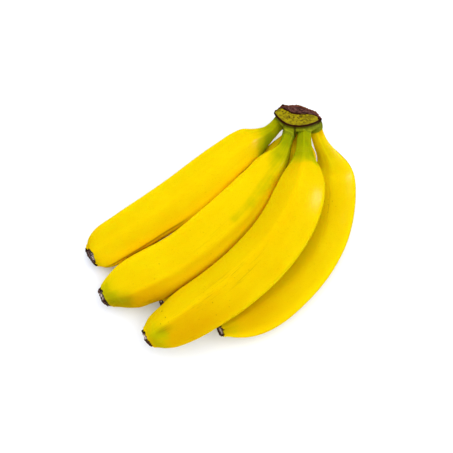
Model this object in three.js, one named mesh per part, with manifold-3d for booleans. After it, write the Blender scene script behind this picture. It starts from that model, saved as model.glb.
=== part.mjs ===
// A cluster of five bananas on one cut crown, lying on a flat surface. Millimetres, +Z up.
// The origin is on the surface, under the middle of the cluster's box.
// Each fruit is one closed solid: a rounded five-sided section swept along its curved centre line, from the stalk end at
// the crown to the blunt dried flower end. The crown is one solid that the five stalks meet.
import * as THREE from "three";
import { mergeVertices } from "three/addons/utils/BufferGeometryUtils.js";
import Module from "manifold-3d";

// ---- driving dimensions (mm) ----
const SIDES = 20; // section facets, a multiple of the five ridges
const STEPS = 2; // rings per spine interval on the body
const RIDGES = 5;
const MEAN = 0.985; // mean half-width of the section, as a share of the spine radius
const RIDGE = 0.02; // height of the ridges on the belly, as a share of the radius
const RIDGE_END = 0.034; // and near the stalk and the flower end
const ROOT_RUN = 5; // length of stalk that runs on into the crown before it is trimmed
const TIP_BEVEL = 1.1; // bevel of the dried flower end
const GAP = 0.8; // how far the crown is grown, corner-wise, to trim the stalks: it leaves about 0.3 mm to its faces
const REST_FLAT = 0.35; // underside points lower than this are pressed flat on the surface
const SKIN = { color: 0xf2cb05, roughness: 0.45, metalness: 0 };
const CROWN = { color: 0x6e6a1c, roughness: 0.8, metalness: 0 };

// Centre lines: x, y, z and radius at stations from the crown to the flower end. planeNormal is the normal of the plane
// that the fruit curves in, and turn the rotation of its ridges about the centre line, in degrees.
const FRUITS = {
  banana_left: { planeNormal: [0.6236, -0.7168, -0.312], turn: 9, spine: [
    [40.78, 77.09, 46.16, 5.1],
    [37.75, 74.25, 46.47, 5.12],
    [34.93, 70.84, 46.71, 5.14],
    [31.2, 66.74, 47.32, 5.86],
    [26.96, 63.18, 48.12, 7.6],
    [22.64, 59.74, 48.95, 10.12],
    [17.41, 56.02, 49.92, 13.33],
    [12.01, 50.97, 50.67, 15.02],
    [4.59, 43.68, 51.23, 16.07],
    [-5.13, 34.96, 51.26, 16.72],
    [-16.45, 25.18, 50.05, 17.05],
    [-27.91, 15.85, 47.57, 17.07],
    [-39.5, 7.29, 43.88, 17.13],
    [-51.11, -0.45, 38.97, 17.23],
    [-61.9, -7.02, 33.25, 17.21],
    [-71.06, -12.1, 27.04, 17],
    [-78.79, -15.78, 20.99, 16.63],
    [-84.93, -18.78, 15.57, 15.67],
    [-90.25, -21.49, 11.37, 13.33],
    [-93.87, -23.64, 9.1, 10.29],
    [-96.9, -25.74, 8.32, 7.78],
  ] },
  banana_upper: { planeNormal: [0.5877, -0.3841, -0.7121], turn: 9, spine: [
    [46.72, 65.2, 57.53, 4.6],
    [45.5, 60.84, 58.08, 4.6],
    [44.37, 56.46, 58.7, 4.62],
    [42.36, 51.17, 59.47, 5.97],
    [39.72, 45.84, 60.22, 8.16],
    [36.29, 40.5, 60.93, 10.75],
    [32.04, 34.3, 61.64, 12.54],
    [27.66, 27.31, 62.25, 13.36],
    [22.04, 17.95, 62.61, 15.53],
    [14.12, 6.53, 62.1, 17.02],
    [4, -5.55, 60.16, 17.71],
    [-7.15, -16.39, 56.89, 18.22],
    [-19.08, -25.87, 52.4, 18.58],
    [-31.53, -33.98, 46.78, 19.09],
    [-43.5, -40.4, 40.64, 19.82],
    [-53.94, -45.14, 34.7, 19.77],
    [-62.87, -48.39, 29.29, 18.36],
    [-70.06, -50.93, 24.52, 15.34],
    [-76.28, -53.1, 20.35, 12.06],
    [-80.63, -55.01, 17.52, 9.54],
    [-84.59, -56.63, 15.7, 7.27],
  ] },
  banana_top: { planeNormal: [0.6016, -0.2562, -0.7566], turn: 9, spine: [
    [57.69, 68.29, 57.03, 4.8],
    [57.36, 62.96, 58.48, 4.88],
    [57.41, 57.67, 60.03, 5.22],
    [57.53, 51.34, 61.98, 5.6],
    [57.52, 45.01, 63.93, 7.06],
    [57.41, 38.67, 65.85, 9.32],
    [57.3, 31.25, 67.96, 12.84],
    [56.7, 22.71, 70.1, 15.98],
    [54.73, 10.95, 72.31, 18.3],
    [49.98, -3.66, 73.61, 19.34],
    [41.7, -19.18, 72.8, 19.61],
    [31.24, -33.03, 69.73, 19.76],
    [19.42, -45.12, 64.74, 19.72],
    [6.77, -55.56, 58.25, 19.53],
    [-5.6, -64, 51.23, 19.27],
    [-16.56, -70.44, 44.6, 18.95],
    [-26, -75.21, 38.67, 18.08],
    [-33.85, -79, 33.57, 16.32],
    [-40.6, -82.48, 29.03, 13.27],
    [-45.23, -85.12, 25.9, 10.03],
    [-49.63, -87.57, 23.93, 6.92],
  ] },
  banana_right: { planeNormal: [-0.3671, 0.2496, -0.8961], turn: 9, spine: [
    [66.06, 73.21, 47.06, 5.2],
    [67.99, 69.88, 44.14, 4.66],
    [69.98, 66.5, 41.26, 4.88],
    [72.72, 62.46, 37.53, 5.55],
    [75.97, 58.59, 33.53, 7.19],
    [79.03, 54.98, 28.14, 10.34],
    [81.56, 49.9, 23.3, 14.45],
    [82.65, 42.38, 20.7, 16.74],
    [83.67, 31.49, 18.53, 17.18],
    [83.51, 17.65, 16.37, 16.78],
    [80.54, 2.02, 15.93, 16.42],
    [74.74, -12.84, 16.28, 16.41],
    [66.66, -26.67, 16.59, 16.66],
    [56.63, -39.1, 17.11, 17.02],
    [46.03, -49.52, 17.95, 17.68],
    [36.06, -57.78, 18.91, 17.86],
    [27.21, -64.35, 19.73, 16.85],
    [19.56, -69.45, 20.46, 14.61],
    [12.57, -73.37, 21.28, 11.15],
    [7.22, -75.79, 22.02, 8.16],
    [1.82, -78.37, 22.71, 5.38],
  ] },
  banana_under: { planeNormal: [0.1896, 0.1093, -0.9758], turn: 9, spine: [
    [53.56, 87.68, 40.59, 4.94],
    [52.75, 82.76, 40.34, 5.08],
    [52.09, 78, 40.16, 5.19],
    [51.5, 72.28, 39.96, 6.76],
    [50.92, 67.03, 39.07, 10.03],
    [50.4, 61.78, 37.74, 14.37],
    [49.9, 55.66, 36.39, 17.6],
    [49.22, 48.07, 35.23, 18.08],
    [47.84, 37.82, 34.11, 18.48],
    [44.47, 25.27, 32.53, 18.99],
    [39.1, 11.58, 30.4, 18.96],
    [31.91, -1.15, 27.57, 18.82],
    [23.3, -12.93, 24.58, 18.6],
    [13.45, -23.65, 21.47, 18.2],
    [3.25, -32.76, 18.67, 17.48],
    [-6.21, -39.87, 16.23, 16.23],
    [-15.04, -45.46, 14.01, 14.49],
    [-22.65, -49.83, 12.08, 12.73],
    [-29.77, -53.33, 10.36, 10.65],
    [-35.51, -55.99, 8.96, 8.83],
    [-41.43, -58.61, 7.53, 6.6],
  ] },
};

// The crown as cross-sections from its left end to its right end. Each one lists the lower edge of the olive cut face,
// the edge between the two cut faces, the far edge of the dark cut face, and the back and front of the underside.
const CROWN_SECTIONS = [
  [[34.79, 80.74, 54.39], [34.82, 81.52, 52.98], [34.95, 83.04, 49.01], [35.03, 81.53, 48.82], [34.89, 79, 53.65]],
  [[36.38, 77.07, 58.32], [36.29, 82.62, 55.53], [36.64, 86.56, 45.05], [36.82, 83.22, 44.72], [36.52, 74.78, 56.97]],
  [[38.6, 73.77, 60.81], [38.37, 83.74, 57.38], [38.91, 89.44, 42.45], [39.22, 83.56, 41.68], [38.77, 71.06, 59.03]],
  [[41.18, 71.16, 62.62], [40.92, 83.46, 58.46], [41.53, 92.24, 40.68], [42.01, 83.16, 39.24], [41.4, 67.63, 60.38]],
  [[44.12, 69.06, 63.96], [43.93, 81.62, 58.84], [44.63, 92.73, 38.92], [45.14, 82.92, 37.42], [44.37, 65.1, 61.43]],
  [[47.77, 67.93, 65.04], [47.66, 80.28, 59.12], [48.42, 93.93, 37.86], [48.98, 83.32, 36.24], [48.03, 63.83, 62.35]],
  [[52.15, 67.51, 65.47], [52.11, 79.59, 59.18], [52.98, 94.24, 37.4], [53.52, 83.83, 35.88], [52.39, 63.68, 62.8]],
  [[56.54, 68.19, 65.07], [56.55, 79.67, 58.94], [57.56, 92.67, 37.56], [58.02, 83.88, 36.42], [56.78, 64.42, 62.47]],
  [[60.61, 69.65, 63.84], [60.66, 79.83, 58.24], [61.69, 91.07, 38.76], [62.11, 83.17, 37.74], [60.86, 65.66, 61.33]],
  [[63.98, 71.57, 61.98], [64.09, 79.55, 57.07], [65.02, 89.03, 40.58], [65.41, 81.65, 39.54], [64.26, 67, 59.54]],
  [[66.89, 74.07, 59.41], [67.06, 78.73, 55.36], [67.78, 86.13, 43.04], [68.13, 79.54, 41.98], [67.2, 68.79, 57.08]],
  [[68.89, 76.52, 56.5], [69.07, 78.26, 53.6], [69.59, 82.24, 45.57], [69.85, 77.28, 44.69], [69.22, 70.84, 54.4]],
  [[69.96, 77.99, 53.66], [70.06, 78.6, 52.21], [70.34, 80.05, 48.22], [70.58, 75.43, 47.2], [70.24, 72.89, 52.02]],
];

// ---- helpers ----
const v3 = (a) => new THREE.Vector3(a[0], a[1], a[2]);

// Uniform Catmull-Rom through rows of numbers, with the end rows reflected.
function spline(rows, u) {
  const n = rows.length - 1;
  const i = Math.min(Math.floor(u), n - 1);
  const t = u - i;
  const at = (k) =>
    k < 0
      ? rows[0].map((v, c) => 2 * v - rows[1][c])
      : k > n
        ? rows[n].map((v, c) => 2 * v - rows[n - 1][c])
        : rows[k];
  const [a, b, c, d] = [at(i - 1), at(i), at(i + 1), at(i + 2)];
  return b.map(
    (v, k) =>
      0.5 *
      (2 * v +
        (c[k] - a[k]) * t +
        (2 * a[k] - 5 * v + 4 * c[k] - d[k]) * t * t +
        (3 * v - a[k] - 3 * c[k] + d[k]) * t * t * t),
  );
}

function closedGeometry(positions, indices) {
  const g = new THREE.BufferGeometry();
  g.setAttribute("position", new THREE.Float32BufferAttribute(positions, 3));
  g.setIndex(indices);
  return g;
}

// Rings of points around a line, joined by quads and closed by a fan at each end.
function loft(rings) {
  const n = rings[0].length;
  const pos = [];
  const idx = [];
  for (const ring of rings) for (const p of ring) pos.push(p.x, p.y, p.z);
  for (let i = 0; i < rings.length - 1; i++)
    for (let j = 0; j < n; j++) {
      const a = i * n + j;
      const b = i * n + ((j + 1) % n);
      idx.push(a, b, b + n, a, b + n, a + n);
    }
  const cap = (ring, base, flip) => {
    const c = ring
      .reduce((s, p) => s.add(p), new THREE.Vector3())
      .divideScalar(n);
    const k = pos.length / 3;
    pos.push(c.x, c.y, c.z);
    for (let j = 0; j < n; j++) {
      const a = base + j;
      const b = base + ((j + 1) % n);
      if (flip) idx.push(k, b, a);
      else idx.push(k, a, b);
    }
  };
  cap(rings[0], 0, true);
  cap(rings[rings.length - 1], (rings.length - 1) * n, false);
  return closedGeometry(pos, idx);
}

// One fruit: the section's half-width at angle f is r (MEAN + ridge cos 5f).
function fruit({ planeNormal, turn, spine }) {
  const n = spine.length - 1;
  const stations = [];
  for (let i = 0; i < n; i++) {
    const k = i < 5 || i >= n - 5 ? 1 : STEPS;
    for (let j = 0; j < k; j++) stations.push(i + j / k);
  }
  stations.push(n);
  const rows = stations.map((u) => ({ u, row: spline(spine, u) }));
  const point = (u) => v3(spline(spine, u));
  const tangent = (u) =>
    point(Math.min(u + 0.01, n))
      .sub(point(Math.max(u - 0.01, 0)))
      .normalize();
  const list = rows.map(({ u, row }) => ({ u, c: v3(row), r: row[3], t: tangent(u) }));
  const first = list[0];
  list.unshift({ u: 0, c: first.c.clone().addScaledVector(first.t, -ROOT_RUN), r: first.r, t: first.t });
  const last = list[list.length - 1];
  list.splice(list.length - 1, 0, {
    u: last.u,
    c: last.c.clone().addScaledVector(last.t, -TIP_BEVEL),
    r: last.r + 0.1,
    t: last.t,
  });
  last.r *= 0.84;
  const rings = list.map(({ u, c, r, t }) => {
    const b = v3(planeNormal);
    b.addScaledVector(t, -b.dot(t)).normalize();
    const out = t.clone().cross(b).normalize(); // towards the convex side
    const s = u / n;
    const end = Math.max(0, 1 - s / 0.45, (s - 0.6) / 0.4);
    const ridge = RIDGE + (RIDGE_END - RIDGE) * Math.min(1, end);
    const ring = [];
    for (let j = 0; j < SIDES; j++) {
      const f = (j / SIDES) * 2 * Math.PI;
      const w = r * (MEAN + ridge * Math.cos(RIDGES * (f - (turn * Math.PI) / 180)));
      const p = c
        .clone()
        .addScaledVector(out, w * Math.cos(f))
        .addScaledVector(b, -w * Math.sin(f));
      if (p.z < REST_FLAT) p.z = 0;
      ring.push(p);
    }
    return ring;
  });
  return loft(rings);
}

// The crown, or the crown grown by a clearance all round.
function crownSolid(grow) {
  const rings = CROWN_SECTIONS.map((section) => {
    const pts = section.map(v3).reverse();
    const c = pts.reduce((s, p) => s.add(p), new THREE.Vector3()).divideScalar(pts.length);
    for (const p of pts) {
      const d = p.clone().sub(c);
      const l = d.length();
      p.addScaledVector(d, l > 0 ? (grow * 1.25) / l : 0);
    }
    return pts;
  });
  if (grow) {
    const a = rings[0];
    const b = rings[rings.length - 1];
    const axis = b[0].clone().sub(a[0]).normalize();
    for (const p of a) p.addScaledVector(axis, -grow * 2);
    for (const p of b) p.addScaledVector(axis, grow * 2);
  }
  return loft(rings);
}

const wasm = await Module();
wasm.setup();
function solid(geometry) {
  const g = mergeVertices(geometry, 1e-4);
  return new wasm.Manifold(
    new wasm.Mesh({
      numProp: 3,
      vertProperties: new Float32Array(g.attributes.position.array),
      triVerts: new Uint32Array(g.index.array),
    }),
  );
}
function geometryOf(manifold) {
  const m = manifold.getMesh();
  return closedGeometry(Array.from(m.vertProperties), Array.from(m.triVerts));
}

// ---- the cluster ----
const group = new THREE.Group();
const grown = solid(crownSolid(GAP));
for (const [name, shape] of Object.entries(FRUITS)) {
  // each stalk is trimmed where it meets the crown
  const parts = solid(fruit(shape)).subtract(grown).decompose();
  parts.sort((a, b) => b.volume() - a.volume());
  const mesh = new THREE.Mesh(
    geometryOf(parts[0]),
    new THREE.MeshStandardMaterial(SKIN),
  );
  mesh.name = name;
  group.add(mesh);
}
const crown = new THREE.Mesh(crownSolid(0), new THREE.MeshStandardMaterial(CROWN));
crown.name = "crown";
group.add(crown);

export default group;
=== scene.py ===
import math

import bpy
import numpy as np
from mathutils import Matrix, Vector
from mathutils.kdtree import KDTree


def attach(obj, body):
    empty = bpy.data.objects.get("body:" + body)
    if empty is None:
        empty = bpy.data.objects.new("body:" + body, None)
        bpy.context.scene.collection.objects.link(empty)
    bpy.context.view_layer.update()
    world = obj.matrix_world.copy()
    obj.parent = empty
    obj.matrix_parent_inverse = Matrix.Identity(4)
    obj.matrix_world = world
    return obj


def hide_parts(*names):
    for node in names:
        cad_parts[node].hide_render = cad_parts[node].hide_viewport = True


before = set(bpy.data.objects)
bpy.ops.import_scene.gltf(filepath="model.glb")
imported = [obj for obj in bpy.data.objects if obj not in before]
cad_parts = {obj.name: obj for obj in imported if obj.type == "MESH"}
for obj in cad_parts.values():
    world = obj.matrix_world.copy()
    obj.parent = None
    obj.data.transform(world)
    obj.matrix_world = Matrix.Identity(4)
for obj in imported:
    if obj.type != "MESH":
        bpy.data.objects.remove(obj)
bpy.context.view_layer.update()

MM = 0.001

# The fruits' centre lines in millimetres, x y z and half-width, at the stations below.
STATIONS = (0.0, 0.025, 0.05, 0.08, 0.11, 0.14, 0.175, 0.215, 0.27, 0.34, 0.42, 0.5, 0.58, 0.66, 0.735, 0.80, 0.855, 0.90, 0.94, 0.97, 1.0)
FRUITS = {
    "banana_left": dict(
        binormal=(0.6236, -0.7168, -0.3120),
        spine=(
            (40.78, 77.09, 46.16, 5.10),
            (37.75, 74.25, 46.47, 5.12),
            (34.93, 70.84, 46.71, 5.14),
            (31.20, 66.74, 47.32, 5.86),
            (26.96, 63.18, 48.12, 7.60),
            (22.64, 59.74, 48.95, 10.12),
            (17.41, 56.02, 49.92, 13.33),
            (12.01, 50.97, 50.67, 15.02),
            (4.59, 43.68, 51.23, 16.07),
            (-5.13, 34.96, 51.26, 16.72),
            (-16.45, 25.18, 50.05, 17.05),
            (-27.91, 15.85, 47.57, 17.07),
            (-39.50, 7.29, 43.88, 17.13),
            (-51.11, -0.45, 38.97, 17.23),
            (-61.90, -7.02, 33.25, 17.21),
            (-71.06, -12.10, 27.04, 17.00),
            (-78.79, -15.78, 20.99, 16.63),
            (-84.93, -18.78, 15.57, 15.67),
            (-90.25, -21.49, 11.37, 13.33),
            (-93.87, -23.64, 9.10, 10.29),
            (-96.90, -25.74, 8.32, 7.78),
        ),
    ),
    "banana_upper": dict(
        binormal=(0.5877, -0.3841, -0.7121),
        spine=(
            (46.72, 65.20, 57.53, 4.60),
            (45.50, 60.84, 58.08, 4.60),
            (44.37, 56.46, 58.70, 4.62),
            (42.36, 51.17, 59.47, 5.97),
            (39.72, 45.84, 60.22, 8.16),
            (36.29, 40.50, 60.93, 10.75),
            (32.04, 34.30, 61.64, 12.54),
            (27.66, 27.31, 62.25, 13.36),
            (22.04, 17.95, 62.61, 15.53),
            (14.12, 6.53, 62.10, 17.02),
            (4.00, -5.55, 60.16, 17.71),
            (-7.15, -16.39, 56.89, 18.22),
            (-19.08, -25.87, 52.40, 18.58),
            (-31.53, -33.98, 46.78, 19.09),
            (-43.50, -40.40, 40.64, 19.82),
            (-53.94, -45.14, 34.70, 19.77),
            (-62.87, -48.39, 29.29, 18.36),
            (-70.06, -50.93, 24.52, 15.34),
            (-76.28, -53.10, 20.35, 12.06),
            (-80.63, -55.01, 17.52, 9.54),
            (-84.59, -56.63, 15.70, 7.27),
        ),
    ),
    "banana_top": dict(
        binormal=(0.6016, -0.2562, -0.7566),
        spine=(
            (57.69, 68.29, 57.03, 4.80),
            (57.36, 62.96, 58.48, 4.88),
            (57.41, 57.67, 60.03, 5.22),
            (57.53, 51.34, 61.98, 5.60),
            (57.52, 45.01, 63.93, 7.06),
            (57.41, 38.67, 65.85, 9.32),
            (57.30, 31.25, 67.96, 12.84),
            (56.70, 22.71, 70.10, 15.98),
            (54.73, 10.95, 72.31, 18.30),
            (49.98, -3.66, 73.61, 19.34),
            (41.70, -19.18, 72.80, 19.61),
            (31.24, -33.03, 69.73, 19.76),
            (19.42, -45.12, 64.74, 19.72),
            (6.77, -55.56, 58.25, 19.53),
            (-5.60, -64.00, 51.23, 19.27),
            (-16.56, -70.44, 44.60, 18.95),
            (-26.00, -75.21, 38.67, 18.08),
            (-33.85, -79.00, 33.57, 16.32),
            (-40.60, -82.48, 29.03, 13.27),
            (-45.23, -85.12, 25.90, 10.03),
            (-49.63, -87.57, 23.93, 6.92),
        ),
    ),
    "banana_right": dict(
        binormal=(-0.3671, 0.2496, -0.8961),
        spine=(
            (66.06, 73.21, 47.06, 5.20),
            (67.99, 69.88, 44.14, 4.66),
            (69.98, 66.50, 41.26, 4.88),
            (72.72, 62.46, 37.53, 5.55),
            (75.97, 58.59, 33.53, 7.19),
            (79.03, 54.98, 28.14, 10.34),
            (81.56, 49.90, 23.30, 14.45),
            (82.65, 42.38, 20.70, 16.74),
            (83.67, 31.49, 18.53, 17.18),
            (83.51, 17.65, 16.37, 16.78),
            (80.54, 2.02, 15.93, 16.42),
            (74.74, -12.84, 16.28, 16.41),
            (66.66, -26.67, 16.59, 16.66),
            (56.63, -39.10, 17.11, 17.02),
            (46.03, -49.52, 17.95, 17.68),
            (36.06, -57.78, 18.91, 17.86),
            (27.21, -64.35, 19.73, 16.85),
            (19.56, -69.45, 20.46, 14.61),
            (12.57, -73.37, 21.28, 11.15),
            (7.22, -75.79, 22.02, 8.16),
            (1.82, -78.37, 22.71, 5.38),
        ),
    ),
    "banana_under": dict(
        binormal=(0.1896, 0.1093, -0.9758),
        spine=(
            (53.56, 87.68, 40.59, 4.94),
            (52.75, 82.76, 40.34, 5.08),
            (52.09, 78.00, 40.16, 5.19),
            (51.50, 72.28, 39.96, 6.76),
            (50.92, 67.03, 39.07, 10.03),
            (50.40, 61.78, 37.74, 14.37),
            (49.90, 55.66, 36.39, 17.60),
            (49.22, 48.07, 35.23, 18.08),
            (47.84, 37.82, 34.11, 18.48),
            (44.47, 25.27, 32.53, 18.99),
            (39.10, 11.58, 30.40, 18.96),
            (31.91, -1.15, 27.57, 18.82),
            (23.30, -12.93, 24.58, 18.60),
            (13.45, -23.65, 21.47, 18.20),
            (3.25, -32.76, 18.67, 17.48),
            (-6.21, -39.87, 16.23, 16.23),
            (-15.04, -45.46, 14.01, 14.49),
            (-22.65, -49.83, 12.08, 12.73),
            (-29.77, -53.33, 10.36, 10.65),
            (-35.51, -55.99, 8.96, 8.83),
            (-41.43, -58.61, 7.53, 6.60),
        ),
    ),
}
CROWN = (
    ((34.79, 80.74, 54.39), (34.82, 81.52, 52.98), (34.95, 83.04, 49.01), (35.03, 81.53, 48.82), (34.89, 79.00, 53.65)),
    ((36.38, 77.07, 58.32), (36.29, 82.62, 55.53), (36.64, 86.56, 45.05), (36.82, 83.22, 44.72), (36.52, 74.78, 56.97)),
    ((38.60, 73.77, 60.81), (38.37, 83.74, 57.38), (38.91, 89.44, 42.45), (39.22, 83.56, 41.68), (38.77, 71.06, 59.03)),
    ((41.18, 71.16, 62.62), (40.92, 83.46, 58.46), (41.53, 92.24, 40.68), (42.01, 83.16, 39.24), (41.40, 67.63, 60.38)),
    ((44.12, 69.06, 63.96), (43.93, 81.62, 58.84), (44.63, 92.73, 38.92), (45.14, 82.92, 37.42), (44.37, 65.10, 61.43)),
    ((47.77, 67.93, 65.04), (47.66, 80.28, 59.12), (48.42, 93.93, 37.86), (48.98, 83.32, 36.24), (48.03, 63.83, 62.35)),
    ((52.15, 67.51, 65.47), (52.11, 79.59, 59.18), (52.98, 94.24, 37.40), (53.52, 83.83, 35.88), (52.39, 63.68, 62.80)),
    ((56.54, 68.19, 65.07), (56.55, 79.67, 58.94), (57.56, 92.67, 37.56), (58.02, 83.88, 36.42), (56.78, 64.42, 62.47)),
    ((60.61, 69.65, 63.84), (60.66, 79.83, 58.24), (61.69, 91.07, 38.76), (62.11, 83.17, 37.74), (60.86, 65.66, 61.33)),
    ((63.98, 71.57, 61.98), (64.09, 79.55, 57.07), (65.02, 89.03, 40.58), (65.41, 81.65, 39.54), (64.26, 67.00, 59.54)),
    ((66.89, 74.07, 59.41), (67.06, 78.73, 55.36), (67.78, 86.13, 43.04), (68.13, 79.54, 41.98), (67.20, 68.79, 57.08)),
    ((68.89, 76.52, 56.50), (69.07, 78.26, 53.60), (69.59, 82.24, 45.57), (69.85, 77.28, 44.69), (69.22, 70.84, 54.40)),
    ((69.96, 77.99, 53.66), (70.06, 78.60, 52.21), (70.34, 80.05, 48.22), (70.58, 75.43, 47.20), (70.24, 72.89, 52.02)),
)

# ---------------------------------------------------------------- small tools


LIGHT = 1.42  # how much brighter than a plain white sky the studio light is on a face that looks up


def linear(r, g, b):
    """The surface colour that shows as these 0-255 screen values where it faces the studio light."""
    return tuple(((c / 255 / 12.92) if c / 255 <= 0.04045 else ((c / 255 + 0.055) / 1.055) ** 2.4) / LIGHT for c in (r, g, b))


def smooth(a, b, x):
    t = np.clip((x - a) / (b - a), 0, 1)
    return t * t * (3 - 2 * t)


def bell(x, middle, width):
    return np.exp(-(((x - middle) / width) ** 2))


def turned(f, middle):
    """Degrees from middle, wrapped to -180..180."""
    return (f - middle + 180) % 360 - 180


def lattice(ix, iy, iz, seed):
    n = (ix * 374761393 + iy * 668265263 + iz * 1440662683 + seed * 974634777) & 0xFFFFFFFF
    n = ((n ^ (n >> 13)) * 1274126177) & 0xFFFFFFFF
    n = ((n ^ (n >> 16)) * 2246822519) & 0xFFFFFFFF
    return (n ^ (n >> 15)) / 2147483648.0 - 1.0


def noise(p, size, seed=0, octaves=1):
    """Smooth value noise, about -1..1, over points p, with features of the given size."""
    total, gain, norm = 0.0, 1.0, 0.0
    for k in range(octaves):
        q = np.asarray(p, float) / (size / 2**k)
        cell = np.floor(q).astype(np.int64)
        t = q - cell
        t = t * t * t * (t * (t * 6 - 15) + 10)
        value = 0.0
        for dx in (0, 1):
            for dy in (0, 1):
                for dz in (0, 1):
                    w = (t[..., 0] if dx else 1 - t[..., 0]) * (t[..., 1] if dy else 1 - t[..., 1]) * (t[..., 2] if dz else 1 - t[..., 2])
                    value = value + w * lattice(cell[..., 0] + dx, cell[..., 1] + dy, cell[..., 2] + dz, seed + 31 * k)
        total = total + gain * value
        norm += gain
        gain *= 0.5
    return total / norm


def curve(rows, u):
    """A uniform Catmull-Rom curve through rows, at u in row numbers, and its derivative."""
    P = np.asarray(rows, float)
    m = len(P)
    Q = np.concatenate([(2 * P[0] - P[1])[None], P, (2 * P[-1] - P[-2])[None]])
    i = np.clip(np.floor(u).astype(int), 0, m - 2)
    t = (u - i).reshape((-1,) + (1,) * (P.ndim - 1))
    a, b, c, d = Q[i], Q[i + 1], Q[i + 2], Q[i + 3]
    at = 0.5 * (2 * b + (c - a) * t + (2 * a - 5 * b + 4 * c - d) * t * t + (3 * b - a - 3 * c + d) * t**3)
    slope = 0.5 * ((c - a) + 2 * (2 * a - 5 * b + 4 * c - d) * t + 3 * (3 * b - a - 3 * c + d) * t * t)
    return at, slope


def unit(v):
    return v / np.linalg.norm(v, axis=-1, keepdims=True)


def new_mesh(name, points_mm, quads, tris=()):
    """A smooth-shaded mesh object from points in millimetres."""
    mesh = bpy.data.meshes.new(name)
    mesh.from_pydata((np.asarray(points_mm) * MM).tolist(), [], [tuple(map(int, q)) for q in quads] + [tuple(map(int, t)) for t in tris])
    mesh.polygons.foreach_set("use_smooth", [True] * len(mesh.polygons))
    mesh.update()
    obj = bpy.data.objects.new(name, mesh)
    bpy.context.scene.collection.objects.link(obj)
    return obj


def paint(obj, **layers):
    """Writes one number or vector a vertex under each name."""
    for name, values in layers.items():
        values = np.asarray(values, np.float32)
        if values.ndim == 1:
            made = obj.data.attributes.new(name, "FLOAT", "POINT")
            made.data.foreach_set("value", values)
        else:
            made = obj.data.attributes.new(name, "FLOAT_VECTOR", "POINT")
            made.data.foreach_set("vector", values.ravel())


# ---------------------------------------------------------------- materials


class Nodes:
    def __init__(self, name):
        self.material = bpy.data.materials.new(name)
        self.material.use_nodes = True
        self.tree = self.material.node_tree
        self.tree.nodes.clear()
        self.out = self.tree.nodes.new("ShaderNodeOutputMaterial")
        self.shader = self.tree.nodes.new("ShaderNodeBsdfPrincipled")
        self.tree.links.new(self.shader.outputs[0], self.out.inputs[0])
        self.coords = self.tree.nodes.new("ShaderNodeTexCoord")

    def put(self, socket, value):
        if isinstance(value, (int, float)):
            socket.default_value = value
        elif isinstance(value, tuple):
            socket.default_value = value if len(socket.default_value) == len(value) else (*value, 1.0)
        else:
            self.tree.links.new(value, socket)

    def attribute(self, name, vector=False):
        node = self.tree.nodes.new("ShaderNodeAttribute")
        node.attribute_name = name
        return node.outputs["Vector" if vector else "Fac"]

    def math(self, kind, a, b=0.0, clamp=False):
        node = self.tree.nodes.new("ShaderNodeMath")
        node.operation, node.use_clamp = kind, clamp
        self.put(node.inputs[0], a)
        self.put(node.inputs[1], b)
        return node.outputs[0]

    def ramp(self, value, low, high, to_low=0.0, to_high=1.0):
        node = self.tree.nodes.new("ShaderNodeMapRange")
        node.interpolation_type = "SMOOTHSTEP"
        for name, v in (("Value", value), ("From Min", low), ("From Max", high), ("To Min", to_low), ("To Max", to_high)):
            self.put(node.inputs[name], v)
        return node.outputs[0]

    def scaled(self, vector, scale):
        node = self.tree.nodes.new("ShaderNodeMapping")
        self.put(node.inputs["Vector"], vector)
        node.inputs["Scale"].default_value = scale
        return node.outputs[0]

    def noise(self, scale, detail=2.0, vector=None, rough=0.5, distort=0.0):
        node = self.tree.nodes.new("ShaderNodeTexNoise")
        self.put(node.inputs["Vector"], vector or self.coords.outputs["Object"])
        for name, v in (("Scale", scale), ("Detail", detail), ("Roughness", rough), ("Distortion", distort)):
            node.inputs[name].default_value = v
        return node.outputs["Fac"]

    def cells(self, scale, vector=None, feature="F1"):
        node = self.tree.nodes.new("ShaderNodeTexVoronoi")
        node.feature = feature
        self.put(node.inputs["Vector"], vector or self.coords.outputs["Object"])
        node.inputs["Scale"].default_value = scale
        return node.outputs["Distance"], node.outputs["Color"]

    def mix(self, factor, a, b):
        node = self.tree.nodes.new("ShaderNodeMix")
        node.data_type = "RGBA"
        self.put(node.inputs[0], factor)
        self.put(node.inputs[6], a)
        self.put(node.inputs[7], b)
        return node.outputs[2]

    def bump(self, height, strength, distance, normal=None):
        node = self.tree.nodes.new("ShaderNodeBump")
        self.put(node.inputs["Height"], height)
        self.put(node.inputs["Strength"], strength)
        node.inputs["Distance"].default_value = distance
        if normal is not None:
            self.put(node.inputs["Normal"], normal)
        return node.outputs[0]

    def set(self, **sockets):
        for name, value in sockets.items():
            self.put(self.shader.inputs[name.replace("_", " ")], value)


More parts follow.
